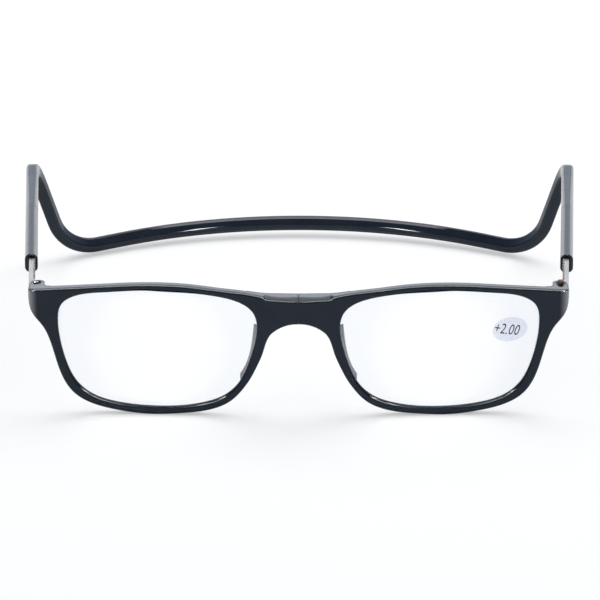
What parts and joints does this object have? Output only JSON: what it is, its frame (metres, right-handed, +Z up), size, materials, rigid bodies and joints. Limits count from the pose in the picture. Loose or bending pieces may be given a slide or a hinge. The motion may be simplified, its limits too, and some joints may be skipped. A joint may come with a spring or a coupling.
{
  "type": "magnetic bridge reading glasses",
  "caption": "Reading glasses whose front parts at the nose on magnets, with toothed sliding bars, hinge screws and one flexible band behind the neck.",
  "frame": {"origin": "on the surface that the glasses rest on, under the middle of the whole object's box", "axes": "+Z up, +X to the wearer's left, -Y the way the wearer looks, so the front is at low Y and the neckband at high Y"},
  "size_m": [0.1532, 0.1458, 0.0357],
  "materials": {
    "front_plastic": "glossy near-black plastic with a blue cast",
    "band_plastic": "satin near-black flexible plastic",
    "lens": "clear polished lens plastic",
    "bar_steel": "bright polished steel",
    "spring_steel": "bright sheet spring steel",
    "screw_metal": "dull bronze-coloured screw",
    "magnet": "nickel plated",
    "sticker_film": "lavender-grey printed film"
  },
  "bodies": {
    "neckband": {"neckband": "band_plastic", "left_detent_clip": "spring_steel", "right_detent_clip": "spring_steel"},
    "left_bar": {"left_bar": "bar_steel"},
    "right_bar": {"right_bar": "bar_steel"},
    "left_front": {"left_rim": "front_plastic", "left_lens": "lens", "left_magnet": "magnet", "left_hinge_screw": "screw_metal", "power_sticker": "sticker_film"},
    "right_front": {"right_rim": "front_plastic", "right_lens": "lens", "right_magnet": "magnet", "right_hinge_screw": "screw_metal"}
  },
  "joints": [
    {"name": "left_length_slide", "type": "slide", "parent": "neckband", "child": "left_bar", "axis": [-0.0541, -0.9985, 0], "range_m": [-0.018, 0.01]},
    {"name": "right_length_slide", "type": "slide", "parent": "neckband", "child": "right_bar", "axis": [0.0541, -0.9985, 0], "range_m": [-0.018, 0.01]},
    {"name": "left_front_hinge", "type": "hinge", "parent": "left_bar", "child": "left_front", "pos_m": [0.0679, -0.06444, 0.0305], "axis": [0, 0, 1], "range_deg": [-90, 45]},
    {"name": "right_front_hinge", "type": "hinge", "parent": "right_bar", "child": "right_front", "pos_m": [-0.0679, -0.06444, 0.0305], "axis": [0, 0, 1], "range_deg": [-45, 90]}
  ]
}
